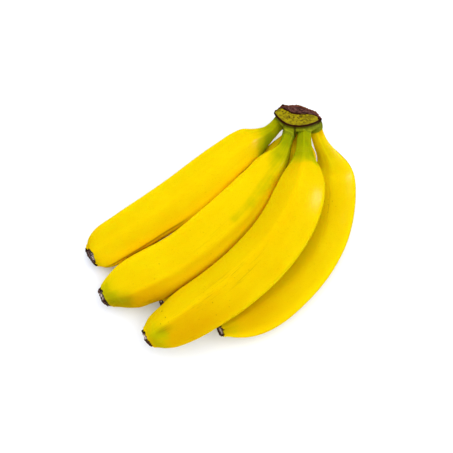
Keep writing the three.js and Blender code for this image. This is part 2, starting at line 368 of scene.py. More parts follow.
def peel_material(dry_end=False):
    n = Nodes("dry_end" if dry_end else "peel")
    grain = n.attribute("grain", vector=True)
    # Ripe yellow that drifts between lemon and egg yolk, in broad clouds and faint lengthwise streaks.
    clouds = n.noise(26, 3)
    streaks = n.noise(1.0, 3, n.scaled(grain, (420, 420, 26)))
    colour = n.mix(n.ramp(clouds, 0.32, 0.68), LEMON, YOLK)
    colour = n.mix(n.ramp(streaks, 0.45, 0.75, 0.0, 0.14), colour, STREAK)
    # Golden sides, and gold where fruits lie close: painted light. It lightens sides that face away from the lamps and
    # stands in for light thrown back by the neighbours.
    colour = n.mix(n.attribute("flank"), colour, GOLD)
    # Ochre: partly the skin's own tone, partly painted shade on the lower facets.
    colour = n.mix(n.attribute("warm"), colour, OCHRE)
    # Green, by way of yellow-green.
    mottle = n.math("MULTIPLY", n.math("SUBTRACT", n.noise(150, 3), 0.5), 0.35)
    fibres = n.math("MULTIPLY", n.math("SUBTRACT", streaks, 0.5), 0.30)
    raw = n.attribute("green")
    green = n.math("ADD", raw, n.math("MULTIPLY", n.math("ADD", mottle, fibres), n.ramp(raw, 0.02, 0.25)))
    colour = n.mix(n.ramp(green, 0.05, 0.55), colour, YELLOW_GREEN)
    colour = n.mix(n.ramp(green, 0.45, 0.98), colour, GREEN)
    colour = n.mix(n.attribute("olive"), colour, OLIVE)
    # Orange near the neighbouring fruits is painted crevice shade.
    colour = n.mix(n.attribute("ember"), colour, EMBER)
    # Brown where fruits touch is partly rub marks and partly painted contact shade.
    colour = n.mix(n.attribute("rub"), colour, RUB)
    # Small brown specks, and fine scratches that run with the fruit.
    distance, chance = n.cells(330)
    apart = n.tree.nodes.new("ShaderNodeSeparateColor")
    n.put(apart.inputs[0], chance)
    size = n.math("MULTIPLY", n.ramp(apart.outputs[0], 0.45, 1.0), 0.22)
    speck = n.math("MULTIPLY", n.ramp(n.math("DIVIDE", distance, n.math("ADD", size, 0.0001)), 0.6, 1.0, 1.0, 0.0), n.attribute("speck"))
    colour = n.mix(n.math("MULTIPLY", speck, 0.8), colour, SPECK)
    scratch = n.noise(1.0, 4, n.scaled(grain, (1500, 1500, 60)), 0.6)
    scuff = n.math("MULTIPLY", n.ramp(scratch, 0.52, 0.66), n.attribute("scuff"))
    colour = n.mix(n.math("MULTIPLY", scuff, 0.75), colour, SCUFF)
    # The dried flower end: near black, with grey-pink fibres in its middle.
    dry = n.attribute("dry")
    edge = n.math("ADD", dry, n.math("MULTIPLY", n.math("SUBTRACT", n.noise(1300, 4), 0.5), 0.7))
    bark = n.mix(n.ramp(n.noise(700, 4, None, 0.7), 0.42, 0.62), DRY_DARK, DRY_BROWN)
    ash = n.math("MULTIPLY", n.ramp(n.noise(480, 5, None, 0.65), 0.44, 0.58), n.attribute("ash"))
    bark = n.mix(ash, bark, DRY_ASH)
    burnt = n.ramp(edge, 0.30, 0.62)
    colour = n.mix(n.ramp(edge, 0.02, 0.40, 0.0, 0.75), colour, SCORCH)
    colour = n.mix(burnt, colour, bark)
    rough = n.math("ADD", n.ramp(n.noise(60, 3), 0.3, 0.7, 0.22, 0.30), n.math("MULTIPLY", burnt, 0.4), True)
    pores = n.bump(n.noise(520, 4, None, 0.6), 0.10, 0.0006)
    lines = n.bump(n.noise(1.0, 3, n.scaled(grain, (700, 700, 45))), 0.10, 0.0006, pores)
    crust = n.bump(n.noise(1500, 5, None, 0.7), n.math("MULTIPLY", burnt, 0.8), 0.0008, lines)
    n.set(Base_Color=colour, Roughness=rough, Normal=crust, Specular_IOR_Level=0.07, IOR=1.45, Subsurface_Weight=0.0 if dry_end else 1.0, Subsurface_Radius=(1.0, 0.6, 0.1), Subsurface_Scale=0.009)
    return n.material


def crown_material():
    n = Nodes("crown")
    mottle = n.noise(420, 4, None, 0.65)
    fine = n.noise(1500, 4, None, 0.7)
    # Green sides and collar.
    side = n.mix(n.ramp(mottle, 0.35, 0.65), STEM_GREEN, STEM_DEEP)
    side = n.mix(n.attribute("scale"), side, STEM_PALE)
    # Darker under the rim and in the creases: painted shade, partly a brown stain.
    side = n.mix(n.attribute("under"), side, STEM_SHADE)
    # The olive cut face, freckled with brown.
    face = n.mix(n.ramp(mottle, 0.38, 0.66), CUT_OLIVE, CUT_DEEP)
    face = n.mix(n.math("MULTIPLY", n.ramp(n.noise(640, 3), 0.50, 0.60), n.math("ADD", 0.35, n.attribute("fleck"))), face, CUT_FRECKLE)
    face = n.mix(n.attribute("sun"), face, CUT_SUN)
    colour = n.mix(n.attribute("face"), side, face)
    # The dried cut: purple-brown fibres with reddish ragged edges.
    fibre = n.noise(1.0, 5, n.scaled(n.attribute("grain", vector=True), (330, 800, 800)), 0.7)
    bark = n.mix(n.ramp(fibre, 0.44, 0.56), BARK_DARK, BARK)
    bark = n.mix(n.math("MULTIPLY", n.ramp(n.noise(620, 3), 0.50, 0.62), n.math("ADD", 0.25, n.attribute("ashen"))), bark, BARK_PALE)
    bark = n.mix(n.attribute("rust"), bark, RUST)
    dark = n.math("ADD", n.attribute("dark"), n.math("MULTIPLY", n.math("SUBTRACT", fine, 0.5), 0.5))
    colour = n.mix(n.ramp(dark, 0.35, 0.65), colour, bark)
    line = n.math("ADD", n.attribute("rim"), n.math("MULTIPLY", n.math("SUBTRACT", fine, 0.5), 0.5))
    colour = n.mix(n.ramp(line, 0.35, 0.70), colour, RIM)
    rough = n.ramp(n.attribute("dark"), 0.2, 0.8, 0.55, 0.9)
    pores = n.bump(mottle, 0.25, 0.0006)
    crust = n.bump(fibre, n.math("ADD", 0.15, n.math("MULTIPLY", n.attribute("dark"), 0.7)), 0.0010, pores)
    n.set(Base_Color=colour, Roughness=rough, Normal=crust, Specular_IOR_Level=0.05, IOR=1.45)
    return n.material


def floor_material():
    n = Nodes("table")
    tone = n.mix(n.ramp(n.noise(3, 2), 0.3, 0.7), (0.86, 0.89, 0.97), (0.88, 0.91, 0.99))
    n.set(Base_Color=tone, Roughness=0.9, Specular_IOR_Level=0.1)
    return n.material


LEMON = linear(255, 227, 6)
YOLK = linear(252, 219, 4)
STREAK = linear(246, 206, 2)
OCHRE = linear(232, 176, 2)
GOLD = (0.95, 0.68, 0.002)
YELLOW_GREEN = linear(208, 200, 4)
GREEN = linear(158, 170, 6)
OLIVE = linear(112, 110, 6)
EMBER = (0.92, 0.40, 0.003)
RUB = linear(124, 54, 5)
SPECK = linear(84, 50, 14)
SCUFF = linear(150, 116, 22)
SCORCH = linear(180, 120, 10)
DRY_DARK = linear(26, 12, 10)
DRY_BROWN = linear(92, 50, 38)
DRY_ASH = (0.72, 0.58, 0.54)
STEM_GREEN = linear(146, 154, 8)
STEM_DEEP = linear(120, 130, 6)
STEM_PALE = linear(192, 202, 30)
STEM_SHADE = linear(66, 62, 6)
CUT_OLIVE = linear(178, 162, 8)
CUT_DEEP = linear(126, 110, 4)
CUT_FRECKLE = linear(74, 52, 10)
CUT_SUN = linear(184, 168, 26)
BARK_DARK = linear(14, 6, 10)
BARK = linear(122, 70, 59)
BARK_PALE = linear(146, 104, 94)
RUST = linear(136, 56, 22)
RIM = linear(54, 18, 6)

# ---------------------------------------------------------------- marks
# Marks of the skin and of the cut are strokes, x0 y0 x1 y1 width amount, in the 453 x 453 picture of a camera at EYE with the axes TURN.
# They are laid on the surface once, from there, and stay fixed to it whatever the scene's camera does.
EYE = np.array([3.7947, -259.6084, 1000.1041])
TURN = np.array([[0.998645, 0.050293, 0.013374], [-0.05204, 0.965106, 0.256638], [0.0, -0.256986, 0.966415]])


def on_sheet(p):
    ray = (p - EYE) @ TURN.T
    return np.stack([226.5 + 1351.35 * ray[..., 0] / -ray[..., 2], 226.5 - 1351.35 * ray[..., 1] / -ray[..., 2]], -1)


def strokes(lines, spot):
    total = np.zeros(spot.shape[:-1])
    for x0, y0, x1, y1, wide, amount in lines:
        a, b = np.array([x0, y0]), np.array([x1, y1])
        t = np.clip(((spot - a) @ (b - a)) / ((b - a) @ (b - a)), 0, 1)
        total = np.maximum(total, amount * bell(np.linalg.norm(spot - a - t[..., None] * (b - a), axis=-1), 0, wide))
    return total


# ---------------------------------------------------------------- fruits

# Each fruit's look. Along the fruit s runs 0 at the stalk to 1 at the tip, and around it f is in degrees, 0 on the outside of the bend.
# ridge: where one of the five ridges lies, as (s, f) pairs. facet: how strong the ridges are. swell and trim: (s, ds, mm, f, df) fuller, (s, ds, f, df, mm) slimmer.
# stalk: how far the green runs down from the crown, (s, skew, f of its longest side, sharpness, amount).
# green, olive, warm, speck and scuff: blobs (s, ds, f, df, amount); the ochre is partly the skin's own tone and partly
# painted shade on the lower sides. glow: how golden the flanks are painted, painted light, and gold more of it as blobs
# (s, ds, f, df, amount). low: how much darker and more orange the facet below the ridge is painted, painted shade.
LOOKS = {
    "banana_left": dict(
        seed=11,
        ridge=((0, 12), (0.5, 12), (1, 20)),
        facet=0.020,
        swell=(0.50, 0.13, 1.9, 285, 62),
        stalk=(0.162, 0.26, 251, 5, 0.86),
        green=((0.13, 0.05, 320, 34, 0.30),),
        olive=((0.145, 0.05, 296, 20, 0.45), (0.06, 0.05, 280, 18, 0.4)),
        warm=((0.97, 0.07, 0, 999, 0.40), (0.70, 0.28, 290, 40, 0.20), (0.78, 0.18, 288, 16, 0.8)),
        speck=(),
        scuff=(),
        glow=0.42,
        scar=((0.50, 311, 0.95, 313, 2.6, 0.70),),
        band=1.9,
        bulge=(14, 27, 8.5),
        pale=((91.5, 255.0, 94.0, 258.5, 1.5, 1.0),),
        ash=1.0,
    ),
    "banana_upper": dict(
        seed=23,
        low=0.62,
        ridge=((0, 8), (0.15, 9), (0.4, 15), (0.7, 21), (1, 26)),
        facet=0.032,
        swell=(0.47, 0.13, 1.6, 130, 62),
        trim=(0.81, 0.05, 308, 40, 1.3),
        stalk=(0.128, 0.10, 330, 4, 1.0),
        green=((0.955, 0.07, 66, 50, 0.42),),
        olive=((0.07, 0.06, 322, 13, 0.75),),
        warm=((0.74, 0.20, 345, 36, 0.36),),
        speck=((0.62, 0.12, 40, 60, 0.35), (0.90, 0.05, 40, 50, 0.4)),
        scuff=((0.5, 0.10, 30, 30, 0.15), (0.95, 0.03, 40, 50, 0.35)),
        glow=0.80,
        lime=((276.0, 157.0, 271.0, 177.0, 8.0, 0.30), (271.0, 177.0, 251.0, 203.0, 8.0, 0.33), (251.0, 203.0, 235.0, 218.0, 6.5, 0.27), (110.0, 300.0, 124.0, 300.5, 9.0, 0.30)),
        stain=((110.5, 302.5, 127.0, 301.5, 8.5, 0.50), (127.0, 301.5, 133.0, 300.0, 6.0, 0.22)),
        band=3.0,
        bulge=(41, 70, 2.6),
        pale=((100.0, 294.0, 103.0, 298.5, 1.1, 1.0),),
        ash=0.9,
    ),
    "banana_top": dict(
        seed=37,
        low=0.50,
        ridge=((0, 58), (0.3, 60), (0.6, 64), (0.8, 58), (1, 48)),
        facet=0.040,
        trim=(0.89, 0.055, 140, 45, 2.3),
        swell=(0.5, 0.2, 0.0, 0, 60),
        stalk=(0.163, 0.03, 330, 12, 0.92),
        green=((0.93, 0.05, 45, 40, 0.34), (0.955, 0.04, 350, 50, 0.34), (0.885, 0.045, 44, 15, 0.26)),
        olive=((0.885, 0.030, 45, 9, 0.30), (0.965, 0.03, 20, 70, 0.22)),
        warm=((0.80, 0.22, 10, 40, 0.34), (0.3, 0.3, 95, 35, 0.30), (0.18, 0.05, 75, 40, 0.25)),
        speck=((0.88, 0.05, 95, 40, 1.0), (0.19, 0.03, 60, 22, 0.8), (0.64, 0.1, 40, 60, 0.5)),
        scuff=((0.87, 0.03, 43, 9, 1.0), (0.70, 0.10, 62, 14, 0.8), (0.57, 0.06, 52, 12, 0.8), (0.93, 0.04, 115, 18, 0.9), (0.86, 0.08, 350, 12, 0.5)),
        glow=0.0,
        band=2.0,
        bulge=(48, 50, 1.3),
        pale=((143.0, 334.5, 146.0, 338.5, 0.9, 1.0),),
        ash=0.9,
    ),
    "banana_right": dict(
        seed=41,
        ease=9.0,
        ridge=((0, 118), (0.3, 124), (0.6, 118), (1, 108)),
        facet=0.022,
        swell=(0.06, 0.06, 0.8, 200, 60),
        stalk=(0.012, 0.0, 0, 4, 0.5),
        green=((0.97, 0.045, 90, 70, 0.30), (0.09, 0.07, 110, 60, 0.30)),
        olive=((0.99, 0.025, 60, 60, 0.20), (0.10, 0.09, 175, 18, 0.30)),
        warm=((0.015, 0.018, 82, 30, 0.85), (0.88, 0.16, 100, 60, 0.5)),
        speck=((0.3, 0.15, 125, 30, 0.3),),
        scuff=((0.33, 0.10, 124, 4, 0.9), (0.13, 0.02, 120, 25, 0.2)),
        glow=0.42,
        band=2.0,
        bulge=(90, 60, 0.5),
        pale=((220.0, 328.5, 221.5, 333.0, 0.9, 0.75),),
        ash=0.8,
    ),
    "banana_under": dict(
        seed=53,
        thin=0.62,
        ridge=((0, 70), (0.5, 72), (1, 76)),
        facet=0.028,
        swell=(0.20, 0.055, 4.8, 168, 55),
        stalk=(0.030, 0.0, 0, 4, 0.5),
        green=((0.95, 0.05, 80, 60, 0.30),),
        olive=(),
        warm=((0.16, 0.10, 80, 120, 0.55), (0.8, 0.2, 60, 80, 0.3)),
        speck=((0.5, 0.3, 200, 80, 0.3),),
        scuff=((0.5, 0.2, 220, 30, 0.4),),
        gold=((0.09, 0.06, 70, 70, 0.9), (0.18, 0.07, 100, 80, 0.8)),
        glow=0.30,
        band=3.0,
        bulge=(80, 60, 0.5),
        pale=((161.0, 301.5, 163.5, 302.0, 0.9, 1.0),),
        ash=0.9,
    ),
}


def centre_line(rows, arcs, ease=0.0):
    """Position, direction, half-width and s at distances arcs, in millimetres from the stalk's root. Distances below 0 run on straight."""
    fine = np.linspace(0, len(rows) - 1, 2001)
    at, slope = curve(rows, fine)
    run = np.concatenate([[0], np.cumsum(np.linalg.norm(np.diff(at[:, :3], axis=0), axis=1))])
    u = np.interp(arcs, run, fine)
    at, slope = curve(rows, u)
    # The rings turn more evenly than the line itself, so they never cross on the inside of a bend.
    turns = unit(curve(rows, fine)[1][:, :3])
    level = np.linspace(0, run[-1], 801)
    even = np.stack([np.interp(level, run, turns[:, k]) for k in range(3)], -1)
    step = level[1]
    taps = np.arange(-60, 61)
    weight = np.exp(-((taps * step / 5.0) ** 2))
    even = unit(sum(w * even[np.clip(np.arange(801) + t, 0, 800)] for t, w in zip(taps, weight)))
    way = unit(np.stack([np.interp(arcs, level, even[:, k]) for k in range(3)], -1))
    if ease:  # take the tightest of a bend out of the line
        wide = np.exp(-((taps * step / ease) ** 2))
        path = np.stack([np.interp(level, run, curve(rows, fine)[0][:, k]) for k in range(3)], -1)
        soft = sum(w * path[np.clip(np.arange(801) + t, 0, 800)] for t, w in zip(taps, wide)) / wide.sum()
        path = path + (soft - path) * (smooth(12, 24, level) * smooth(90, 70, level))[:, None]
        turned_way = unit(np.gradient(path, axis=0))
        way = unit(way + (np.stack([np.interp(arcs, level, turned_way[:, k]) for k in range(3)], -1) - way) * (smooth(12, 24, arcs) * smooth(90, 70, arcs))[:, None])
        at[:, :3] = np.stack([np.interp(arcs, level, path[:, k]) for k in range(3)], -1)
    before = np.minimum(arcs, 0)
    at[:, :3] += way * before[:, None]
    return at[:, :3], way, at[:, 3], np.interp(u, np.arange(len(rows)), STATIONS), run[-1]


def blobs(spots, s, f):
    total = 0.0
    for s0, ds, f0, df, amount in spots:
        around = 1.0 if df >= 999 else bell(turned(f, f0), 0, df)
        total = total + amount * bell(s, s0, ds) * around
    return total + 0 * s * f


def gap_to(name, p):
    """How far points are from the skin of another fruit, in millimetres."""
    spec = FRUITS[name]
    arcs = np.linspace(0, centre_line(spec["spine"], np.array([0.0]))[4], 150)
    centre, _, half, _, _ = centre_line(spec["spine"], arcs)
    best = np.full(p.shape[:-1], 1e3)
    for c, h in zip(centre, half):
        best = np.minimum(best, np.linalg.norm(p - c, axis=-1) - h)
    return best


# Fruits that lie against each other. Where they lie close, the skin is painted golden and orange, which is painted
# bounce light and painted shade. Where they touch it is brown, partly rub marks and partly painted contact shade.
BESIDE = {
    "banana_left": ("banana_upper", "banana_under"),
    "banana_upper": ("banana_left", "banana_top", "banana_under"),
    "banana_top": ("banana_upper", "banana_right", "banana_under"),
    "banana_right": ("banana_top", "banana_under"),
    "banana_under": ("banana_left", "banana_upper", "banana_top", "banana_right"),
}


def fruit(name, spec, look, materials):
    seed = look["seed"]
    long = centre_line(spec["spine"], np.array([0.0]))[4]
    # Rings are closest together at the stalk and at the tip.
    near = np.arange(0.6 if look.get("thin") else -2.4, 34, 0.55)
    middle = np.arange(34.3, long - 22, 0.92)
    far = np.arange(long - 21.6, long - 0.05, 0.36)
    arcs = np.concatenate([near, middle, far, [long]])
    centre, way, half, s, _ = centre_line(spec["spine"], arcs, look.get("ease", 0.0))
    normal = np.array(spec["binormal"])
    side = unit(normal - (way @ normal)[:, None] * way)
    out = np.cross(way, side)
    count = 132
    f = np.arange(count) * (360 / count)
    half = half * (1 - look.get("thin", 0) * smooth(7.0, -1.0, arcs))
    S, F = s[:, None], f[None, :]
    ring_s, ring_f = zip(*look["ridge"])
    turn = np.interp(s, ring_s, ring_f)[:, None]
    # Five soft ridges, sharper along the stalk and towards the tip.
    depth = look["facet"] + 0.030 * bell(S, 0.10, 0.09) + 0.026 * smooth(0.80, 0.98, S)
    angle = np.radians(5 * (F - turn))
    wave = np.cos(angle) + 0.27 * np.cos(2 * angle) + 0.07 * np.cos(3 * angle)
    swell_s, swell_ds, swell_mm, swell_f, swell_df = look["swell"]
    width = half[:, None] * (0.985 + depth * wave) + swell_mm * bell(S, swell_s, swell_ds) * bell(turned(F, swell_f), 0, swell_df)
    trim_s, trim_ds, trim_f, trim_df, trim_mm = look.get("trim", (0.5, 0.1, 0, 60, 0.0))
    width = width - trim_mm * bell(S, trim_s, trim_ds) * bell(turned(F, trim_f), 0, trim_df)
    rim = np.radians(F)
    ray = out[:, None, :] * np.cos(rim)[..., None] - side[:, None, :] * np.sin(rim)[..., None]
    shell = centre[:, None, :] + ray * width[..., None]
    # Slight unevenness of a grown thing.
    width = width + 0.16 * noise(shell, 24, seed) * smooth(0.03, 0.2, S) + 0.05 * noise(shell, 6, seed + 1)
    # The dried flower end. Its edge on the skin is ragged, and it stands proud as a small crusted button.
    steps = np.linalg.norm(np.diff(shell, axis=0), axis=-1)
    left = np.concatenate([np.cumsum(steps[::-1], axis=0)[::-1], np.zeros((1, count))])
    round_f = np.stack([np.cos(rim) * 7, np.sin(rim) * 7, 0 * rim], -1) + 0 * S[..., None]
    middle_f, spread_f, reach = look["bulge"]
    band = look["band"] + reach * bell(turned(F, middle_f), 0, spread_f) + 0.9 * noise(round_f, 2.6, seed + 2, 2) + 1.1 * noise(round_f, 0.9, seed + 3)
    inside = band - left
    crust = smooth(-0.25, 0.45, inside)
    on_crust = np.concatenate([ray * width[..., None], left[..., None] * np.ones_like(width)[..., None]], -1)[..., :3] + left[..., None] * np.array([0.3, 0.7, 1.1])
    width = width - 0.50 * crust + 0.45 * crust * noise(on_crust, 1.5, seed + 4, 2) + 0.8 * smooth(1.2, 0.0, left) * crust * (0.5 + 0.6 * noise(round_f, 1.2, seed + 5))
    width = width + 0.22 * bell(inside, -0.35, 0.5)
    shell = centre[:, None, :] + ray * width[..., None]
    shell = shell + way[:, None, :] * (0.55 * noise(round_f, 1.6, seed + 6, 2) * smooth(1.6, 0.0, left))[..., None]
    dry = crust
    ash = look["ash"] * crust * smooth(1.0, 2.4, inside) * smooth(0.2, 1.4, left)

    # Across the end: over a ragged lip, down into a shallow cup, and up to the stump of the flower.
    end_rows, end_dry, end_ash = [], [], []
    lip = shell[-1]
    axis, middle_pt = way[-1], lip.mean(0)
    shares = np.array([0.93, 0.85, 0.76, 0.66, 0.56, 0.46, 0.36, 0.27, 0.18, 0.10])
    for k, share in enumerate(shares):
        row = middle_pt + (lip - middle_pt) * share
        row = row - axis * ((row - middle_pt) @ axis)[:, None] * (1 - share)
        drop = -1.15 * smooth(1.0, 0.70, share) + 0.75 * smooth(0.42, 0.12, share)
        bits = np.stack([np.cos(rim[0]) * share * 6, np.sin(rim[0]) * share * 6, 0 * rim[0]], -1)
        row = row + axis * (drop + 0.40 * noise(bits, 1.5, seed + 7, 2))[:, None]
        end_rows.append(row)
        end_dry.append(np.ones(count))
        end_ash.append(look["ash"] * smooth(0.92, 0.72, share) * np.ones(count))
    ash = crust * np.maximum(0.16 * ash, strokes(look["pale"], on_sheet(shell)))
    end_ash = [np.maximum(0.3 * a, strokes(look["pale"], on_sheet(row))) for a, row in zip(end_ash, end_rows)]
    tip_point = middle_pt + axis * (-0.35)
    root_point = centre[0] - way[0] * 0.0

    rows = len(arcs)
    points = np.concatenate([shell.reshape(-1, 3), np.concatenate(end_rows), tip_point[None], root_point[None]])
    points[:, 2] = np.maximum(points[:, 2], 0.0)
    total = rows + len(shares)
    grid = np.arange(total * count).reshape(total, count)
    nxt = np.roll(grid, -1, axis=1)
    quads = np.stack([grid[:-1], grid[1:], nxt[1:], nxt[:-1]], -1).reshape(-1, 4)
    top, bottom = total * count, total * count + 1
    tris = [(grid[-1, j], top, nxt[-1, j]) for j in range(count)] + [(nxt[0, j], bottom, grid[0, j]) for j in range(count)]
    obj = new_mesh("peel_" + name.split("_")[1], points, quads, tris)
    # The faces must look outward.
    mesh = obj.data
    volume = sum(a.dot(b.cross(c)) for a, b, c in ((mesh.vertices[t[0]].co, mesh.vertices[t[1]].co, mesh.vertices[t[2]].co) for t in ([p.vertices[i] for i in (0, 1, 2)] for p in mesh.polygons))) 
    if volume < 0:
        mesh.flip_normals()

    SS = S + 0 * F
    FF = F + 0 * S

    def with_end(values, end):
        return np.concatenate([np.asarray(values + 0 * SS).ravel(), np.concatenate(end), [end[-1][0]], [0.0]])

    flat_end = [np.zeros(count)] * len(shares)
    wobble = 0.10 * noise(shell, 7, seed + 8, 2)
    reach, skew, longest, power, amount = look["stalk"]
    reach = reach * (1 + skew * np.cos(np.radians(FF - longest)))
    ragged_s = np.maximum(SS + 0.010 * noise(shell, 7, seed + 9) + 0.006 * noise(round_f, 1.3, seed + 10), 0)
    green = amount * (1 - 0.2 * np.clip(ragged_s / reach, 0, 1)) * np.exp(-((ragged_s / reach) ** power)) + blobs(look["green"], SS + 0.015 * noise(shell, 9, seed + 9), FF)
    seen = on_sheet(shell)
    upward = smooth(-0.1, 0.2, ray @ TURN[2])
    green = np.clip(green + upward * strokes(look.get("lime", ()), seen), 0, 1.1)
    olive = np.clip(blobs(look["olive"], SS, FF) + upward * strokes(look.get("stain", ()), seen), 0, 1)
    # The facet below the ridge is painted darker and more orange, which is painted shade. The ochre blobs are partly
    # the skin's own tone and partly painted shade on the lower sides.
    past = turned(turn - FF, 0)
    low_side = smooth(-3, 5, past) * smooth(82, 60, past) * smooth(0.22, 0.42, SS)
    warm = np.clip(blobs(look["warm"], SS, FF) + look.get("low", 0) * low_side * (0.2 + 0.8 * smooth(0.64, 0.82, SS)) + wobble * 0.5, 0, 1)
    speck = np.clip(0.10 + blobs(look["speck"], SS, FF), 0, 1)
    # Near a neighbour the skin is painted gold, which is painted bounce light, and orange, which is painted crevice
    # shade.
    gap = np.minimum.reduce([gap_to(other, shell) for other in BESIDE[name]])
    along = smooth(0.16, 0.26, SS)
    close = 0.4 * smooth(8.0, 1.0, gap) * along
    ember = 0.38 * smooth(4.0, 0.5, gap) * along
    # Brown where fruits touch: partly rub marks, partly painted contact shade.
    rub = 0.8 * smooth(1.8, 0.3, gap + 0.5 * noise(shell, 9, seed + 20, 2)) * along
    for s0, f0, s1, f1, df, amount in look.get("scar", ()):  # a thin brown line along the fruit
        at = f0 + (f1 - f0) * (SS - s0) / (s1 - s0) + 1.5 * noise(shell, 14, seed + 21)
        rub = np.maximum(rub, amount * bell(turned(FF, at), 0, df) * smooth(s0, s0 + 0.1, SS) * smooth(s1 + 0.02, s1 - 0.06, SS))
    scuff = np.clip(blobs(look["scuff"], SS, FF), 0, 1)
    grain = np.stack([np.cos(rim) * 0.017 + 0 * S, np.sin(rim) * 0.017 + 0 * S, arcs[:, None] * MM + 0 * F + seed * 0.37], -1)
    end_grain = np.stack([np.cos(rim[0]) * 0.017, np.sin(rim[0]) * 0.017, np.full(count, long * MM + seed * 0.37)], -1)
    all_grain = np.concatenate([grain.reshape(-1, 3)] + [end_grain] * len(shares) + [end_grain[:1], grain[0, :1]])
    paint(
        obj,
        green=with_end(green, flat_end),
        olive=with_end(olive, flat_end),
        warm=with_end(warm, flat_end),
        speck=with_end(speck, flat_end),
        scuff=with_end(scuff, flat_end),
        dry=with_end(dry, end_dry),
        ash=with_end(ash, end_ash),
        rub=with_end(rub, flat_end),
        ember=with_end(ember, flat_end),
        # The sides are painted golden as painted light, and so is the skin near a neighbour.
        flank=with_end(look["glow"] * smooth(0.80, 0.45, ray[..., 2]) * smooth(-0.5, 0.0, ray[..., 2]) * smooth(0.08, 0.2, SS) + close + blobs(look.get("gold", ()), SS, FF), flat_end),
        grain=all_grain,
    )
    for one in materials:
        mesh.materials.append(one)
    crusted = with_end(dry, end_dry) > 0.45
    faces = np.concatenate([crusted[quads].mean(1), crusted[np.array(tris)].mean(1)]) > 0.5
    mesh.polygons.foreach_set("material_index", faces.astype(np.int32))
    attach(obj, "root")
    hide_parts(name)
    return obj


peel = [peel_material(), peel_material(dry_end=True)]
for node_name, shape in FRUITS.items():
    fruit(node_name, shape, LOOKS[node_name], peel)

# ---------------------------------------------------------------- crown


